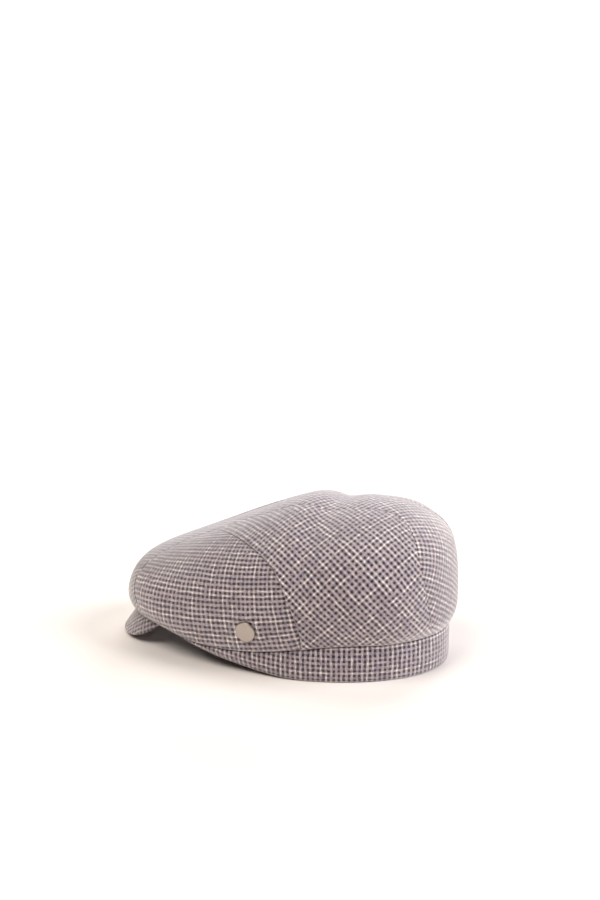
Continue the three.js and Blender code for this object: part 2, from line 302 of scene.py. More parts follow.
def opening_point(turn):
    """Side and ahead of the head opening's outline: turn 0 at the back, 1 at the front."""
    along = np.abs(np.cos(turn * np.pi))
    across = np.maximum(np.sin(turn * np.pi), 0)
    power = 2 / OPENING["front_power"]
    behind = turn <= 0.5
    side = OPENING["half"] * np.where(behind, across, across ** power)
    reach = np.where(behind, -OPENING["rear"] * along, OPENING["front"] * along ** power)
    return np.stack([side, OPENING["middle"] + reach], -1)


def opening_normal(turn):
    """Outward direction of the opening's outline, as side and ahead."""
    step, least = OUTLINE_STEP["turn"], OUTLINE_STEP["least"]
    start = opening_point(np.maximum(turn - step, least))
    end = opening_point(np.minimum(turn + step, 1 - least))
    return unit(np.stack([end[..., 1] - start[..., 1], start[..., 0] - end[..., 0]], -1))


def opening_turn(ahead):
    """The turn at which the outline reaches a place ahead."""
    step = ahead - OPENING["middle"]
    behind = np.arccos(np.clip(-step / OPENING["rear"], -1, 1)) / np.pi
    share = np.clip(step / OPENING["front"], 0, 1) ** (OPENING["front_power"] / 2)
    return np.where(step <= 0, behind, 1 - np.arccos(share) / np.pi)


def band_bottom(ahead):
    return ARCH["rise"] * (np.maximum(0, ahead - ARCH["start"]) / ARCH["span"]) ** ARCH["power"]


def band_height(ahead):
    fall = np.clip((ahead - BAND["falls_from"]) / (BAND["falls_to"] - BAND["falls_from"]), 0, 1)
    visible = BAND["corner"] + (BAND["full"] - BAND["corner"]) * (1 + np.cos(np.pi * fall)) / 2
    strip = BAND["front_strip"] - BAND["corner"]
    return visible + strip * smoothstep(BAND["falls_to"], BAND["front_to"], ahead)


def seam_point(ahead):
    """Where a rib of the crown ends, just outside the band's upper edge."""
    turn = opening_turn(ahead)
    edge = opening_point(turn) + OVERHANG * opening_normal(turn)
    return place(edge[..., 0], edge[..., 1], band_bottom(ahead) + band_height(ahead))


def rib_at(along):
    return dict(zip(RIB_COLUMNS, np.moveaxis(smooth_rows(RIBS, np.asarray(along, float)), -1, 0)))


def crown_point(along, across):
    """Crown's outer face on the wearer's left: along from hem to back, across from spine to band."""
    rib = rib_at(along)
    spine = place(0 * rib["ahead"], rib["ahead"], rib["up"])
    lead = place(rib["lead"], rib["ahead"], rib["up"])
    shoulder = place(rib["shoulder_side"], rib["shoulder_ahead"], rib["shoulder_up"])
    t = np.asarray(across, float)[..., None]
    s = 1 - t
    seam = seam_point(rib["base_ahead"])
    return s ** 3 * spine + 3 * s * s * t * lead + 3 * s * t * t * shoulder + t ** 3 * seam


def crown_normal(along, across):
    def after(value):
        return np.minimum(value + SLOPE_STEP, 1)

    def before(value):
        return np.maximum(value - SLOPE_STEP, 0)

    sideways = crown_point(along, after(across)) - crown_point(along, before(across))
    backwards = crown_point(after(along), across) - crown_point(before(along), across)
    return unit(np.cross(sideways, backwards))


def side_seam(down):
    """Place along the crown where the side seam lies, down from the centre panel (0) to the band (1)."""
    span = SIDE_SEAM["at_band"] - SIDE_SEAM["at_centre"]
    ahead = (1 - down ** SIDE_SEAM["upper_power"]) * (1 - down ** SIDE_SEAM["lower_power"])
    return SIDE_SEAM["at_band"] - span * ahead


# Layouts: along and across of each panel's grid, from its own rows and columns

def side_layout(i, j):
    along = i * side_seam(j)
    start = rib_at(along)["centre"]
    return along, start + j * (1 - start)


def rear_layout(i, j):
    start = side_seam(j)
    along = start + i * (1 - start)
    edge = rib_at(along)["centre"]
    return along, edge + j * (1 - edge)


def centre_layout(i, j):
    """Across is signed here: negative on the wearer's right."""
    return i + 0 * j, (2 * j - 1) * rib_at(i)["centre"]


def crown_grid(layout, rows, columns):
    """Points and outward directions of a panel's outer face."""
    i, j = np.meshgrid(rows, columns, indexing="ij")
    along, across = layout(i, j)
    points = crown_point(along, np.abs(across))
    normals = crown_normal(along, np.abs(across))
    left = np.where(across < 0, -1, 1)
    points[..., 0] *= left
    normals[..., 0] *= left
    return points, normals


# Cloth forms

def edge_distances(points):
    """How far each point of a grid lies from its first and last row and its first and last column."""
    found = []
    for axis in (0, 1):
        steps = np.linalg.norm(np.diff(points, axis=axis), axis=-1)
        reach = np.insert(np.cumsum(steps, axis=axis), 0, 0, axis=axis)
        found += [reach, np.max(reach, axis=axis, keepdims=True) - reach]
    return found


def fold(distance, depth, reach):
    """How far a folded edge falls away near its end, as a quarter ellipse."""
    share = np.clip(1 - distance / reach, 0, 1)
    return depth * (1 - np.sqrt(1 - share * share))


def undulation(points):
    """Slow unevenness of hand-shaped cloth, the same on both sides of a seam."""
    waves = sum(np.sin((points / np.array(lengths)).sum(-1) + start) for lengths, start in UNDULATION_WAVES)
    return UNDULATION * waves / 2


def stud_press(points):
    """How cloth bulges round the stud that presses into it, with a hollow above and behind it,
    and how far its own unevenness counts there."""
    off = points - crown_point(*STUD_AT)
    reach = np.linalg.norm(off, axis=-1)
    facing = np.clip(off @ np.array(STUD_HOLLOW["way"]) / np.maximum(reach, 1), 0, 1)
    off_hollow = (reach - STUD_HOLLOW["at"]) / STUD_HOLLOW["reach"]
    hollow = STUD_HOLLOW["depth"] * facing * np.exp(-off_hollow ** 2)
    climb = smoothstep(STUD_PRESS["edge"], STUD_PRESS["crest"], reach)
    fall = np.exp(-(np.maximum(reach - STUD_PRESS["crest"], 0) / STUD_PRESS["reach"]) ** 2)
    height = STUD_PRESS["height"] + STUD_HOLLOW["brow"] * facing
    return height * climb * fall - hollow, smoothstep(*STUD_PRESS["quiet"], reach)


def panel_faces(points, normals, folds, puckered=(), pressed=False):
    """Outer and inner face of a sewn panel: each edge has its own fold, dips to the seam and may pucker.
    The edges are the first and last row and the first and last column. A pressed panel carries the stud."""
    distances = edge_distances(points)
    nearest = np.minimum.reduce(distances)
    rise = undulation(points) - SEAM_DIP["depth"] * np.exp(-nearest / SEAM_DIP["reach"])
    along_edge = distances[2]
    grows = mixed(SEAM_GROWS["least"], 1, smoothstep(*SEAM_GROWS["over"], along_edge))
    for edge in puckered:
        turn = 2 * np.pi * along_edge
        waves = np.sin(turn / PUCKER["long"]) + np.sin(turn / PUCKER["short"] + PUCKER["phase"])
        rise = rise + PUCKER["height"] * grows * waves * np.exp(-distances[edge] / PUCKER["reach"])
        rise = rise + SEAM_RIDGE["height"] * grows * np.exp(-(distances[edge] / SEAM_RIDGE["reach"]) ** 2)
    if pressed:
        bulge, share = stud_press(points)
        rise = rise * share + bulge
    fading = [grows if kind in (SEAM_FOLD, UNDER_FOLD) else 1 for kind in folds]
    falls = [fold(distance, **kind) * share for distance, kind, share in zip(distances, folds, fading)]
    folded = np.maximum.reduce(falls)
    outer = points + normals * (rise - folded)[..., None]
    inner = points + normals * (rise + folded - CLOTH)[..., None]
    return outer, inner


def laid_flat(points):
    """Flat pattern of a curved grid of points, in which each cell keeps its shape as nearly as it can.
    Each round turns every triangle to its best place, then finds the points that fit them all."""
    rows, columns = points.shape[:2]
    index = np.arange(rows * columns).reshape(rows, columns)
    a, b = index[:-1, :-1].ravel(), index[1:, :-1].ravel()
    c, d = index[1:, 1:].ravel(), index[:-1, 1:].ravel()
    triangles = np.concatenate([np.stack([a, b, c], 1), np.stack([a, c, d], 1)])
    corners = points.reshape(-1, 3)[triangles]
    first, second = corners[:, 1] - corners[:, 0], corners[:, 2] - corners[:, 0]
    length = np.linalg.norm(first, axis=1)
    own = np.zeros((len(triangles), 3, 2))
    own[:, 1, 0] = length
    own[:, 2, 0] = (first * second).sum(1) / length
    own[:, 2, 1] = np.linalg.norm(np.cross(first, second), axis=1) / length
    stiffness = np.zeros((rows * columns,) * 2)
    edges = []
    for k in range(3):
        i, j = triangles[:, (k + 1) % 3], triangles[:, (k + 2) % 3]
        u, v = own[:, (k + 1) % 3] - own[:, k], own[:, (k + 2) % 3] - own[:, k]
        weight = (u * v).sum(1) / np.abs(u[:, 0] * v[:, 1] - u[:, 1] * v[:, 0])
        edges.append((i, j, weight, own[:, (k + 1) % 3] - own[:, (k + 2) % 3]))
        for row, column, sign in ((i, j, -1), (j, i, -1), (i, i, 1), (j, j, 1)):
            np.add.at(stiffness, (row, column), sign * weight)
    stiffness[0, 0] += 1
    inverse = np.linalg.inv(stiffness)
    from_row, _, from_column, _ = edge_distances(points)
    flat = np.stack([from_row, from_column], -1).reshape(-1, 2)
    for _ in range(FLAT_ROUNDS):
        spread = sum(
            weight[:, None, None] * (flat[i] - flat[j])[:, :, None] * edge[:, None, :]
            for i, j, weight, edge in edges
        )
        turn = np.arctan2(spread[:, 1, 0] - spread[:, 0, 1], spread[:, 0, 0] + spread[:, 1, 1])
        cos, sin = np.cos(turn), np.sin(turn)
        pull = np.zeros_like(flat)
        for i, j, weight, edge in edges:
            turned = np.stack([cos * edge[:, 0] - sin * edge[:, 1], sin * edge[:, 0] + cos * edge[:, 1]], 1)
            np.add.at(pull, i, weight[:, None] * turned)
            np.add.at(pull, j, -weight[:, None] * turned)
        flat = inverse @ pull
    return flat.reshape(rows, columns, 2)


def on_grain(points, grain):
    """Cloth coordinates of a grid: its flat pattern, turned so that the cap's length at its middle
    lies at the panel's own angle to the weft."""
    flat = laid_flat(points)
    i, j = (n // 2 for n in points.shape[:2])
    ways = np.stack([points[i + 1, j] - points[i - 1, j], points[i, j + 1] - points[i, j - 1]], 1)
    shares = np.linalg.lstsq(ways, LENGTHWISE, rcond=None)[0]
    image = shares @ np.stack([flat[i + 1, j] - flat[i - 1, j], flat[i, j + 1] - flat[i, j - 1]])
    turn = math.radians(grain["turn"]) - math.atan2(image[1], image[0])
    lying = ((flat - flat[i, j]) @ np.array([1, 1j])) * np.exp(1j * turn)
    lying = lying + 1j * grain["bend"] * lying * lying
    return np.stack([lying.real, lying.imag], -1) + np.array(grain["shift"])


def fine_grain(points_at, grain, rows, columns):
    """Cloth coordinates at a fine grid's rows and columns, read from a coarse flat pattern."""
    coarse_rows, coarse_columns = (np.linspace(0, 1, cells + 1) for cells in FLAT_CELLS)
    coarse = on_grain(points_at(coarse_rows, coarse_columns), grain)
    by_rows = smooth_rows(coarse, rows)
    return smooth_rows(by_rows.swapaxes(0, 1), columns).swapaxes(0, 1)


# Meshes

def loop_mesh(name, loops, cloth, closed=False):
    """Mesh of closed loops of points, one behind the other, with cloth coordinates for each point and
    one more row of them where the loops close up. Open ends are capped by pairing each loop's halves."""
    rows, columns = loops.shape[:2]
    i, j = np.meshgrid(np.arange(rows if closed else rows - 1), np.arange(columns), indexing="ij")
    i, j = i.ravel(), j.ravel()
    corners = [(i, j), (i, j + 1), (i + 1, j + 1), (i + 1, j)]
    faces = np.stack([(r % rows) * columns + c % columns for r, c in corners], 1)
    marks = np.stack([r * columns + c % columns for r, c in corners], 1)
    if not closed:
        k = np.arange(columns // 2 - 1)
        cap = np.stack([k, columns - 1 - k, columns - 2 - k, k + 1], 1)
        end = (rows - 1) * columns + cap[:, ::-1]
        faces = np.concatenate([faces, cap, end])
        marks = np.concatenate([marks, cap, end])
    points = loops.reshape(-1, 3)
    p = points[faces]
    volume = np.einsum("ij,ij->", p[:, 0], np.cross(p[:, 1], p[:, 2]) + np.cross(p[:, 2], p[:, 3]))
    if volume < 0:
        faces, marks = faces[:, ::-1], marks[:, ::-1]
    mesh = bpy.data.meshes.new(name)
    mesh.from_pydata((points * MM).tolist(), [], faces.tolist())
    layer = mesh.uv_layers.new(name="cloth")
    layer.data.foreach_set("uv", (cloth.reshape(-1, 2)[marks.ravel()] * MM).astype(np.float32).ravel())
    mesh.shade_smooth()
    return mesh


def wall_mesh(name, outer, inner, cloth):
    loops = np.concatenate([outer, inner[:, ::-1]], 1)
    return loop_mesh(name, loops, np.concatenate([cloth, cloth[:, ::-1]], 1))


def mirrored(array):
    return array * np.array([-1.0, 1.0, 1.0])


def add_piece(name, mesh, material, node=None):
    """Puts a finished mesh in the scene, on the cap's body, in place of its solid."""
    piece = bpy.data.objects.new(name, mesh)
    bpy.context.scene.collection.objects.link(piece)
    mesh.materials.clear()
    mesh.materials.append(material)
    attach(piece, BODY)
    if node:
        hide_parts(node)
    return piece


def side_pair(name, node, layout, cells, grain, folds, puckered, stud_on_left, material):
    """A crown panel and its mirror image on the other side."""
    rows, columns = (crowded(count) for count in cells)
    points, normals = crown_grid(layout, rows, columns)
    cloth = fine_grain(lambda i, j: crown_grid(layout, i, j)[0], grain, rows, columns)
    left = wall_mesh(f"{name}_left", *panel_faces(points, normals, folds, puckered, stud_on_left), cloth)
    outer, inner = panel_faces(points, normals, folds, puckered)
    right = wall_mesh(f"{name}_right", mirrored(outer), mirrored(inner), cloth * np.array([-1.0, 1.0]))
    add_piece(f"{name}_left", left, material, f"{node}_left")
    add_piece(f"{name}_right", right, material, f"{node}_right")


def centre_strip(material):
    rows, columns = (crowded(count) for count in CENTRE_CELLS)
    folds = (HEM_FOLD, BAND_SEAM_FOLD, CENTRE_FOLD, CENTRE_FOLD)
    outer, inner = panel_faces(*crown_grid(centre_layout, rows, columns), folds)
    cloth = fine_grain(lambda i, j: crown_grid(centre_layout, i, j)[0], GRAIN_CENTRE, rows, columns)
    mesh = wall_mesh("centre_cloth", outer, inner, cloth)
    add_piece("centre_cloth", mesh, material, "centre_panel")


def band_section():
    """Corners of the band's section, as shares of its thickness and height plus fixed offsets.
    They run down the outer face, round the hem, up the inner face and over the top."""
    arc = np.linspace(0, np.pi / 2, BAND_SECTION_POINTS["arc"])
    drop = BAND_FOLD * (1 - np.cos(arc))
    climb = BAND_FOLD * (1 - np.sin(arc))
    face = np.linspace(1, 0, BAND_SECTION_POINTS["face"])
    rows = [(0, 0, f, mixed(BAND_HEM["climb"], -BAND_FOLD, f)) for f in face]
    hem_in, hem_up = BAND_HEM["inward"] / BAND_FOLD, BAND_HEM["climb"] / BAND_FOLD
    rows += [(0, d * hem_in, 0, c * hem_up) for d, c in zip(drop[1:], climb[1:])]
    rows += [(1, -d * BAND_HEM["inside"], 0, c) for d, c in zip(drop[::-1], climb[::-1])]
    rows += [(1, 0, f, BAND_FOLD * (1 - 2 * f)) for f in face[::-1][1:]]
    rows += [(1, -d, 1, -c) for d, c in zip(drop[1:], climb[1:])]
    rows += [(0, d, 1, -c) for d, c in zip(drop[::-1], climb[::-1])][:-1]
    return np.array(rows).T


def band_ring(material):
    share = np.linspace(0, 2, BAND_CELLS + 1)
    turn = np.where(share <= 1, share, 2 - share)
    edge, normal = opening_point(turn), opening_normal(turn)
    side = np.where(share <= 1, 1, -1)
    edge[:, 0] *= side
    normal[:, 0] *= side
    height = band_height(edge[:, 1]) - SEAM_GAP
    in_share, in_offset, up_share, up_offset = band_section()
    depth = in_share * BAND_CLOTH + in_offset
    up = height[:, None] * up_share + up_offset
    bulge = BAND_BULGE * np.clip(height / BAND["full"], 0, 1)[:, None] * np.sin(np.pi * up_share)
    bulge = np.where(in_share < 0.5, bulge, 0)
    waves = undulation(place(edge[:, 0], edge[:, 1], 0.0)) * BAND_WAVES / UNDULATION
    bulge = bulge + waves[:, None] * np.sin(np.pi * np.clip(up / height[:, None], 0, 1)) * bulge / BAND_BULGE
    tucked = smoothstep(*BAND_TUCK["grows"], edge[:, 1]) * (1 - smoothstep(*BAND_TUCK["ends"], edge[:, 1]))
    tuck = BAND_TUCK["depth"] * tucked[:, None] * np.clip(1 - up / height[:, None], 0, 1) ** 2
    out = edge[:, None, :] - normal[:, None, :] * (depth + tuck - bulge)[..., None]
    loops = place(out[..., 0], out[..., 1], band_bottom(edge[:, 1])[:, None] + up)
    steps = np.linalg.norm(np.diff(edge, axis=0), axis=1)
    around = np.insert(np.cumsum(steps), 0, 0)
    down = np.where(depth < BAND_CLOTH / 2, up, -up) - depth
    cloth = np.stack([down, np.broadcast_to(around[:, None], down.shape)], -1)
    mesh = loop_mesh("band_cloth", loops[:-1], cloth, closed=True)
    add_piece("band_cloth", mesh, material, "band")


def peak_grid(across, deep):
    """Upper face of the peak: across from -1 to 1, deep from the band to the rim."""
    u, v = np.meshgrid(across, deep, indexing="ij")
    share = np.abs(u)
    hem = crown_point(0 * share, share * PEAK_WIDTH)
    outward = unit(crown_normal(0 * share, share * PEAK_WIDTH) * np.array([1, 1, 0]))
    behind_hem = hem - outward * (CLOTH + PEAK_BEND["tuck"])
    climb = share ** PEAK_RIM["rise_power"]
    rim = behind_hem + outward * (PEAK_RIM["reach"] * (1 - climb))[..., None]
    rim[..., 2] = mixed(PEAK_RIM["up"], hem[..., 2] - PEAK_RIM["corner_drop"], climb)
    turn = 1 - share * (1 - opening_turn(np.float64(PEAK_ROOT["end_ahead"])))
    edge = opening_point(turn) + PEAK_ROOT["gap"] * opening_normal(turn)
    root = place(edge[..., 0], edge[..., 1], band_bottom(edge[..., 1]) + PEAK_ROOT["up"])
    crest = mixed(behind_hem, rim, -PEAK_BEND["crest"])
    t = np.clip(v / PEAK_BEND["share"], 0, 1)[..., None]
    curve = (1 - t) ** 2 * root + 2 * t * (1 - t) * crest + t * t * behind_hem
    past_bend = np.clip((v - PEAK_BEND["share"]) / (1 - PEAK_BEND["share"]), 0, 1)
    straight = mixed(behind_hem, rim, past_bend[..., None])
    points = np.where((v < PEAK_BEND["share"])[..., None], curve, straight)
    points[..., 0] *= np.where(u < 0, -1, 1)
    return points


def peak_board(material):
    across = 2 * crowded(PEAK_CELLS[0]) - 1
    deep = crowded(PEAK_CELLS[1])
    points = peak_grid(across, deep)
    sideways, downwards = np.gradient(points, axis=0), np.gradient(points, axis=1)
    normal = unit(np.cross(downwards, sideways))
    straight_down = np.array([0, 0, -1.0])
    blend = 1 - smoothstep(0, PEAK_ROOT_BLEND, deep)[None, :, None]
    inward = unit(mixed(-normal, straight_down, blend))
    board = mixed(PEAK_BOARD, PEAK_CORNER_BOARD, across ** 2)[:, None]
    rim = fold(edge_distances(points)[3], board / 2, board / 2)
    outer = points + inward * rim[..., None]
    inner = points + inward * (board - rim)[..., None]
    cloth = fine_grain(lambda i, j: peak_grid(2 * i - 1, j), GRAIN_PEAK, (across + 1) / 2, deep)
    mesh = wall_mesh("peak_cloth", outer, inner, cloth)
    add_piece("peak_cloth", mesh, material, "peak")


# Materials

def join(tree, socket, value):
    """Feeds a socket from another one, or sets it to a plain value."""
    if isinstance(value, bpy.types.NodeSocket):
        tree.links.new(value, socket)
    else:
        socket.default_value = value


def set_values(node, values):
    for name, value in values.items():
        node.inputs[name].default_value = value


def by_identifier(sockets):
    return {socket.identifier: socket for socket in sockets}


def calculated(tree, operation, *values):
    node = tree.nodes.new("ShaderNodeMath")
    node.operation = operation
    for socket, value in zip(node.inputs, values):
        join(tree, socket, value)
    return node.outputs[0]


def blended(tree, share, a, b, blend_type="MIX"):
    node = tree.nodes.new("ShaderNodeMix")
    node.data_type = "RGBA"
    node.blend_type = blend_type
    sockets = by_identifier(node.inputs)
    join(tree, sockets["Factor_Float"], share)
    join(tree, sockets["A_Color"], a)
    join(tree, sockets["B_Color"], b)
    return by_identifier(node.outputs)["Result_Color"]


def clamped(tree, value):
    node = tree.nodes.new("ShaderNodeClamp")
    join(tree, node.inputs[0], value)
    return node.outputs[0]


def either(tree, *masks):
    found = masks[0]
    for mask in masks[1:]:
        found = calculated(tree, "MAXIMUM", found, mask)
    return found


def noise(tree, kind, vector):
    """Random value at a place: smooth for TexNoise, separate for each whole number for TexWhiteNoise."""
    node = tree.nodes.new(f"ShaderNode{kind}")
    node.noise_dimensions = "2D"
    join(tree, node.inputs["Vector"], vector)
    if kind == "TexNoise":
        set_values(node, {"Scale": 1, "Detail": 1})
    return node.outputs[0]


def paired(tree, x, y):
    node = tree.nodes.new("ShaderNodeCombineXYZ")
    join(tree, node.inputs["X"], x)
    join(tree, node.inputs["Y"], y)
    return node.outputs[0]


def yarns(tree, given, across, along, dark, strong_lines, weak_lines, violet, seed):
    """One system of yarns lying side by side. At each place it gives the yarn's colour, its light line,
    rounded height and number, its block of dark or light yarns and whether it is dark."""
    count = calculated(tree, "DIVIDE", across, calculated(tree, "DIVIDE", given["Check"], YARNS_PER_CHECK))
    number = calculated(tree, "FLOOR", count)
    height = calculated(tree, "SINE", calculated(tree, "MULTIPLY", calculated(tree, "FRACT", count), math.pi))
    check = calculated(tree, "FLOOR", calculated(tree, "DIVIDE", number, YARNS_PER_CHECK))
    in_check = calculated(tree, "FLOORED_MODULO", number, YARNS_PER_CHECK)
    in_plaid = calculated(tree, "FLOORED_MODULO", check, PLAID_CHECKS)

    def in_one_of(checks):
        return either(tree, *[calculated(tree, "COMPARE", in_plaid, one, HALF_STEP) for one in checks])

    length = calculated(tree, "MULTIPLY", along, SLUB["per_metre"])
    own_lane = calculated(tree, "MULTIPLY_ADD", number, SLUB["apart"], seed)
    slub = noise(tree, "TexNoise", paired(tree, length, own_lane))
    is_dark = calculated(tree, "GREATER_THAN", in_check, LIGHT_YARNS - HALF_STEP)
    colour = blended(tree, is_dark, given["Light"], blended(tree, in_one_of(violet), dark, given["Violet"]))
    weak = calculated(tree, "MULTIPLY", noise(tree, "TexWhiteNoise", paired(tree, check, seed)), weak_lines)
    strength = calculated(tree, "MAXIMUM", in_one_of(strong_lines), weak)
    thick = calculated(tree, "MULTIPLY", calculated(tree, "SUBTRACT", slub, SLUB["start"]), SLUB["steepness"])
    is_line = calculated(tree, "COMPARE", in_check, LINE_YARNS["middle"], LINE_YARNS["half"])
    line = calculated(tree, "MULTIPLY", is_line, calculated(tree, "MULTIPLY", strength, clamped(tree, thick)))
    shade = calculated(tree, "MULTIPLY_ADD", slub, -SLUB["shade"], SLUB["shade"])
    block = calculated(tree, "FLOOR", calculated(tree, "DIVIDE", number, LIGHT_YARNS))
    colour = blended(tree, shade, colour, BLACK)
    return dict(colour=colour, line=line, height=height, number=number, block=block, dark=is_dark)


def weave_group():
    """Small dotted check in plain weave of dark and light yarns, with broken light lines and violet ones."""
    tree = bpy.data.node_groups.new("small_check_weave", "ShaderNodeTree")
    tree.interface.new_socket("Place", in_out="INPUT", socket_type="NodeSocketVector")
    tree.interface.new_socket("Check", in_out="INPUT", socket_type="NodeSocketFloat")
    for name in YARN_COLOURS:
        tree.interface.new_socket(name, in_out="INPUT", socket_type="NodeSocketColor")
    tree.interface.new_socket("Color", in_out="OUTPUT", socket_type="NodeSocketColor")
    tree.interface.new_socket("Height", in_out="OUTPUT", socket_type="NodeSocketFloat")
    given = tree.nodes.new("NodeGroupInput").outputs
    wander = tree.nodes.new("ShaderNodeTexNoise")
    set_values(wander, {
        "Scale": WANDER["per_metre"],
        "Detail": WANDER["detail"],
        "Roughness": WANDER["roughness"],
    })
    join(tree, wander.inputs["Vector"], given["Place"])
    shift = tree.nodes.new("ShaderNodeVectorMath")
    shift.operation = "MULTIPLY_ADD"
    join(tree, shift.inputs[0], wander.outputs["Color"])
    shift.inputs[1].default_value = (WANDER["reach"], WANDER["reach"], 0)
    join(tree, shift.inputs[2], given["Place"])
    parts = tree.nodes.new("ShaderNodeSeparateXYZ")
    join(tree, parts.inputs[0], shift.outputs[0])
    x, y = parts.outputs["X"], parts.outputs["Y"]
    weft = yarns(tree, given, y, x, given["Dark weft"], **WEFT)
    warp = yarns(tree, given, x, y, given["Dark warp"], **WARP)
    odd = calculated(tree, "FLOORED_MODULO", calculated(tree, "ADD", weft["number"], warp["number"]), 2)
    bare = calculated(tree, "GREATER_THAN", weft["height"], WARP_SHOWS_ABOVE)
    warp_over = calculated(tree, "MULTIPLY", odd, bare)
    colour = blended(tree, warp_over, weft["colour"], warp["colour"])
    spot = tree.nodes.new("ShaderNodeTexWhiteNoise")
    spot.noise_dimensions = "2D"
    join(tree, spot.inputs["Vector"], paired(tree, weft["block"], warp["block"]))
    paler = calculated(tree, "MULTIPLY_ADD", spot.outputs["Value"], SPOT_VARIES, LIGHT_COVERS)
    lighter = blended(tree, 1.0, weft["colour"], warp["colour"], "LIGHTEN")
    colour = blended(tree, paler, colour, lighter)
    height = calculated(tree, "MULTIPLY", weft["height"], warp["height"])
    crossing = noise(tree, "TexWhiteNoise", paired(tree, weft["number"], warp["number"]))
    # Painted shade darkens the colour in the valleys between crossings; each crossing is also darker at
    # random
    shade = calculated(tree, "MULTIPLY_ADD", height, -VALLEY_SHADE, VALLEY_SHADE)
    shade = calculated(tree, "MULTIPLY_ADD", crossing, CROSSING_SHADE, shade)
    colour = blended(tree, shade, colour, BLACK)
    tone = blended(tree, spot.outputs["Value"], linear(COOL_SPOT), linear(WARM_SPOT))
    colour = blended(tree, MELANGE, colour, tone, "SOFT_LIGHT")
    lines = []
    for own, crossed in ((weft, warp), (warp, weft)):
        on_top = calculated(tree, "MULTIPLY_ADD", crossed["dark"], -LINE_DIPS, 1.0)
        lines.append(calculated(tree, "MULTIPLY", own["line"], on_top))
    line = either(tree, *lines)
    done = tree.nodes.new("NodeGroupOutput").inputs
    join(tree, done["Color"], blended(tree, line, colour, given["Line"]))
    join(tree, done["Height"], height)
    return tree


def new_material(name):
    material = bpy.data.materials.new(name)
    material.use_nodes = True
    shader = material.node_tree.nodes["Principled BSDF"]
    return material, material.node_tree, shader


def cloth_material(weave):
    material, tree, shader = new_material("check_cloth")
    uv = tree.nodes.new("ShaderNodeUVMap")
    uv.uv_map = "cloth"
    fabric = tree.nodes.new("ShaderNodeGroup")
    fabric.node_tree = weave
    join(tree, fabric.inputs["Place"], uv.outputs["UV"])
    fabric.inputs["Check"].default_value = CHECK * MM
    set_values(fabric, {name: linear(colour) for name, colour in YARN_COLOURS.items()})
    join(tree, shader.inputs["Base Color"], fabric.outputs["Color"])
    bump = tree.nodes.new("ShaderNodeBump")
    set_values(bump, WEAVE_BUMP)
    join(tree, bump.inputs["Height"], fabric.outputs["Height"])
    join(tree, shader.inputs["Normal"], bump.outputs["Normal"])
    set_values(shader, CLOTH_FINISH)
    return material


def stud_material():
    material, tree, shader = new_material("stud_metal")
    place_on = tree.nodes.new("ShaderNodeTexCoord")
    grain = tree.nodes.new("ShaderNodeTexNoise")
    set_values(grain, {"Scale": STUD_GRAIN["per_metre"], "Detail": STUD_GRAIN["detail"]})
    join(tree, grain.inputs["Vector"], place_on.outputs["Object"])
    set_values(shader, {"Base Color": linear(STUD_METAL), "Metallic": 1})
    varies, least = STUD_GRAIN["varies"], STUD_GRAIN["least_rough"]
    rough = calculated(tree, "MULTIPLY_ADD", grain.outputs["Fac"], varies, least)
    join(tree, shader.inputs["Roughness"], rough)
    return material


def thread_material():
    material, tree, shader = new_material("seam_thread")
    place_on = tree.nodes.new("ShaderNodeTexCoord")
    twist = tree.nodes.new("ShaderNodeTexNoise")
    twist.inputs["Scale"].default_value = THREAD_TWIST
    join(tree, twist.inputs["Vector"], place_on.outputs["Object"])
    colour = blended(tree, twist.outputs["Fac"], linear(THREAD_DARK), linear(THREAD_LIGHT))
    join(tree, shader.inputs["Base Color"], colour)
    shader.inputs["Roughness"].default_value = THREAD_ROUGHNESS
    return material


def floor_material():
    material, _, shader = new_material("pale_floor")
    shader.inputs["Base Color"].default_value = linear(FLOOR)
    set_values(shader, FLOOR_FINISH)
    return material


# Stud

def stud_profile():
    """Radius and height of the stud's outline, from the back plate's middle to the face's middle."""
    radius, edge, lip, post, plate = (STUD[size] for size in ("radius", "edge", "lip", "post", "plate"))
    under = -CLOTH - 2 * SEAM_GAP
    back = under - STUD["plate_thick"]
    top = SEAM_GAP + STUD["thick"]
    rows = [(0, back), (plate, back), (plate, under), (post, under), (post, SEAM_GAP)]
    rows += [(radius - lip, SEAM_GAP), (radius, SEAM_GAP + lip)]
    for turn in np.linspace(0, np.pi / 2, STUD_POINTS["edge"]):
        rows.append((radius - edge * (1 - math.cos(turn)), top - edge * (1 - math.sin(turn))))
    for share in np.linspace(1, 0, STUD_POINTS["dome"])[1:]:
        rows.append(((radius - edge) * share, top + STUD["dome"] * (1 - share * share)))
    return np.array(rows)


def side_stud(material):
    place_at = crown_point(*STUD_AT)
    normal = crown_normal(*STUD_AT)
    turn = np.array(Vector((0, 0, 1)).rotation_difference(Vector(normal)).to_matrix())
    radius, height = stud_profile().T
    angle = np.linspace(0, 2 * np.pi, STUD_POINTS["round"], endpoint=False)[:, None]
    local = np.stack(np.broadcast_arrays(radius * np.cos(angle), radius * np.sin(angle), height), -1)
    count = local.shape[1]
    points = (local.reshape(-1, 3) @ turn.T + place_at) * MM
    faces = []
    for i in range(len(angle)):
        here = i * count
        after = (i + 1) % len(angle) * count
        faces += [(here + j, after + j, after + j + 1, here + j + 1) for j in range(count - 1)]
    mesh = bpy.data.meshes.new("stud_disc")
    mesh.from_pydata(points.tolist(), [], faces)
    tidy_poles(mesh)
    mesh.set_sharp_from_angle(angle=math.radians(STUD_CREASE))
    add_piece("stud_disc", mesh, material, "side_stud")


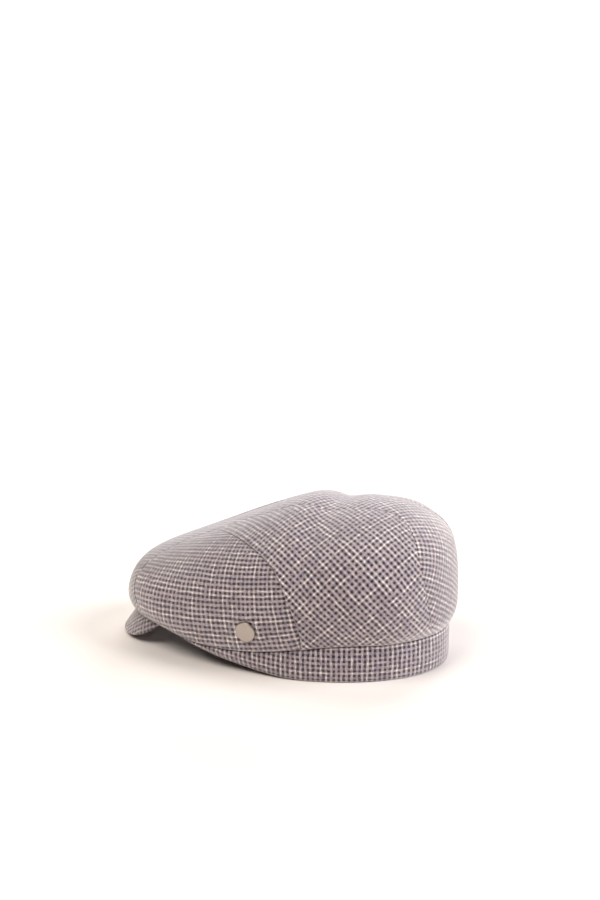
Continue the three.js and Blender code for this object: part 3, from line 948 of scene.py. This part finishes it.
def tidy_poles(mesh):
    """Joins the points that meet in the middle of a turned piece, and removes its empty faces there."""
    work = bmesh.new()
    work.from_mesh(mesh)
    bmesh.ops.remove_doubles(work, verts=work.verts, dist=STUD_WELD)
    bmesh.ops.dissolve_degenerate(work, edges=work.edges, dist=STUD_WELD / 10)
    bmesh.ops.recalc_face_normals(work, faces=work.faces)
    for face in work.faces:
        face.smooth = True
    work.to_mesh(mesh)
    work.free()


# Stitches

def stitch_group():
    """Stitches of thread along a path of edges: each is a rounded grain laid along the path."""
    tree = bpy.data.node_groups.new("seam_stitches", "GeometryNodeTree")
    tree.interface.new_socket("Path", in_out="INPUT", socket_type="NodeSocketGeometry")
    for name in ("Pitch", "Length", "Thickness", "Shortest"):
        tree.interface.new_socket(name, in_out="INPUT", socket_type="NodeSocketFloat")
    tree.interface.new_socket("Seed", in_out="INPUT", socket_type="NodeSocketInt")
    tree.interface.new_socket("Thread", in_out="INPUT", socket_type="NodeSocketMaterial")
    tree.interface.new_socket("Stitches", in_out="OUTPUT", socket_type="NodeSocketGeometry")
    given = tree.nodes.new("NodeGroupInput").outputs
    curve = tree.nodes.new("GeometryNodeMeshToCurve")
    join(tree, curve.inputs["Mesh"], given["Path"])
    spots = tree.nodes.new("GeometryNodeCurveToPoints")
    spots.mode = "LENGTH"
    join(tree, spots.inputs["Curve"], curve.outputs["Curve"])
    join(tree, spots.inputs["Length"], given["Pitch"])
    grain = tree.nodes.new("GeometryNodeMeshUVSphere")
    set_values(grain, {
        "Segments": STITCH["sides"],
        "Rings": STITCH["rings"],
        "Radius": STITCH_UNIT_RADIUS,
    })
    varied = tree.nodes.new("FunctionNodeRandomValue")
    varied.data_type = "FLOAT"
    sockets = by_identifier(varied.inputs)
    join(tree, sockets["Min_001"], given["Shortest"])
    join(tree, sockets["Max_001"], 1.0)
    join(tree, sockets["Seed"], given["Seed"])
    share = by_identifier(varied.outputs)["Value_001"]
    size = tree.nodes.new("ShaderNodeCombineXYZ")
    join(tree, size.inputs["X"], given["Thickness"])
    join(tree, size.inputs["Y"], given["Thickness"])
    join(tree, size.inputs["Z"], calculated(tree, "MULTIPLY", given["Length"], share))
    laid = tree.nodes.new("GeometryNodeInstanceOnPoints")
    join(tree, laid.inputs["Points"], spots.outputs["Points"])
    join(tree, laid.inputs["Instance"], grain.outputs["Mesh"])
    join(tree, laid.inputs["Rotation"], spots.outputs["Rotation"])
    join(tree, laid.inputs["Scale"], size.outputs[0])
    real = tree.nodes.new("GeometryNodeRealizeInstances")
    join(tree, real.inputs["Geometry"], laid.outputs["Instances"])
    coloured = tree.nodes.new("GeometryNodeSetMaterial")
    join(tree, coloured.inputs["Geometry"], real.outputs["Geometry"])
    join(tree, coloured.inputs["Material"], given["Thread"])
    join(tree, tree.nodes.new("NodeGroupOutput").inputs["Stitches"], coloured.outputs["Geometry"])
    return tree


def seam_path(side):
    """Points along the bottom of the seam between a side panel and a rear panel."""
    down = np.linspace(0, 1, SEAM_STEPS + 1)
    along = side_seam(down)
    start = rib_at(along)["centre"]
    across = start + down * (1 - start)
    points = crown_point(along, across)
    points = points + crown_normal(along, across) * (undulation(points) - STITCH["sunk"])[:, None]
    return points * np.array([side, 1.0, 1.0])


def seam_stitches(material):
    """Both side seams' stitches, as one mesh."""
    paths = np.concatenate([seam_path(side) for side in (1, -1)])
    first = [k for k in range(len(paths) - 1) if k != SEAM_STEPS]
    mesh = bpy.data.meshes.new("seam_paths")
    mesh.from_pydata((paths * MM).tolist(), [(k, k + 1) for k in first], [])
    carrier = bpy.data.objects.new("seam_paths", mesh)
    bpy.context.scene.collection.objects.link(carrier)
    modifier = carrier.modifiers.new("stitches", "NODES")
    modifier.node_group = stitch_group()
    values = dict(
        Pitch=STITCH["pitch"] * MM,
        Length=STITCH["length"] * MM,
        Thickness=STITCH["thickness"] * MM,
        Shortest=STITCH["shortest"],
        Seed=STITCH["seed"],
        Thread=material,
    )
    for item in modifier.node_group.interface.items_tree:
        if item.name in values:
            modifier[item.identifier] = values[item.name]
    evaluated = carrier.evaluated_get(bpy.context.evaluated_depsgraph_get())
    stitches = bpy.data.meshes.new_from_object(evaluated)
    stitches.name = "seam_stitches"
    stitches.shade_smooth()
    carrier.modifiers.remove(modifier)
    bpy.data.objects.remove(carrier)
    add_piece("seam_stitches", stitches, material)


# Surroundings

def direction(azimuth, elevation):
    """From the cap towards a place round it: azimuth 0 is at -Y and 90 at +X."""
    a, e = math.radians(azimuth), math.radians(elevation)
    return Vector((math.sin(a) * math.cos(e), -math.cos(a) * math.cos(e), math.sin(e)))


def add_camera():
    data = bpy.data.cameras.new("camera")
    data.sensor_width = SENSOR
    data.lens = FOCAL_PX * SENSOR / PHOTO_HEIGHT_PX
    camera = bpy.data.objects.new("camera", data)
    target = Vector((0, 0, VIEW["height"]))
    camera.location = target + direction(VIEW["azimuth"], VIEW["elevation"]) * VIEW["distance"]
    aim = direction(VIEW["azimuth"] + VIEW["pan"], VIEW["elevation"] - VIEW["tilt"])
    camera.rotation_mode = "QUATERNION"
    camera.rotation_quaternion = (-aim).to_track_quat("-Z", "Y")
    bpy.context.scene.collection.objects.link(camera)
    bpy.context.scene.camera = camera


def add_sun(name, azimuth, elevation, power, colour):
    """Even light from far away; its spread in degrees softens the shadows."""
    data = bpy.data.lights.new(name, "SUN")
    data.angle = math.radians(LIGHT_SPREAD)
    data.energy = power
    data.color = linear(colour)[:3]
    light = bpy.data.objects.new(name, data)
    light.rotation_mode = "QUATERNION"
    light.rotation_quaternion = (-direction(azimuth, elevation)).to_track_quat("-Z", "Y")
    bpy.context.scene.collection.objects.link(light)


def add_surroundings():
    mesh = bpy.data.meshes.new("floor")
    level = min(cad_low.z, 0) - FLOOR_DROP
    corners = [(-1, -1), (1, -1), (1, 1), (-1, 1)]
    mesh.from_pydata([(x * FLOOR_HALF, y * FLOOR_HALF, level) for x, y in corners], [], [(0, 1, 2, 3)])
    mesh.materials.append(floor_material())
    floor = bpy.data.objects.new("floor", mesh)
    bpy.context.scene.collection.objects.link(floor)
    world = bpy.data.worlds.new("studio")
    world.use_nodes = True
    background = world.node_tree.nodes["Background"]
    background.inputs["Color"].default_value = linear(SKY)
    background.inputs["Strength"].default_value = SKY_STRENGTH
    bpy.context.scene.world = world
    bpy.context.scene.view_settings.view_transform = "Standard"
    for name, light in LIGHTS.items():
        add_sun(name, **light)


add_camera()
add_surroundings()
weave = weave_group()
cloth = cloth_material(weave)
centre_strip(cloth)
side_folds = (HEM_FOLD, UNDER_FOLD, CENTRE_FOLD, BAND_SEAM_FOLD)
rear_folds = (SEAM_FOLD, BAND_SEAM_FOLD, CENTRE_FOLD, BAND_SEAM_FOLD)
side_pair("side_cloth", "side_panel", side_layout, SIDE_CELLS, GRAIN_SIDE, side_folds, (), True, cloth)
side_pair("rear_cloth", "rear_panel", rear_layout, REAR_CELLS, GRAIN_REAR, rear_folds, (0,), False, cloth)
band_ring(cloth)
peak_board(cloth)
side_stud(stud_material())
seam_stitches(thread_material())
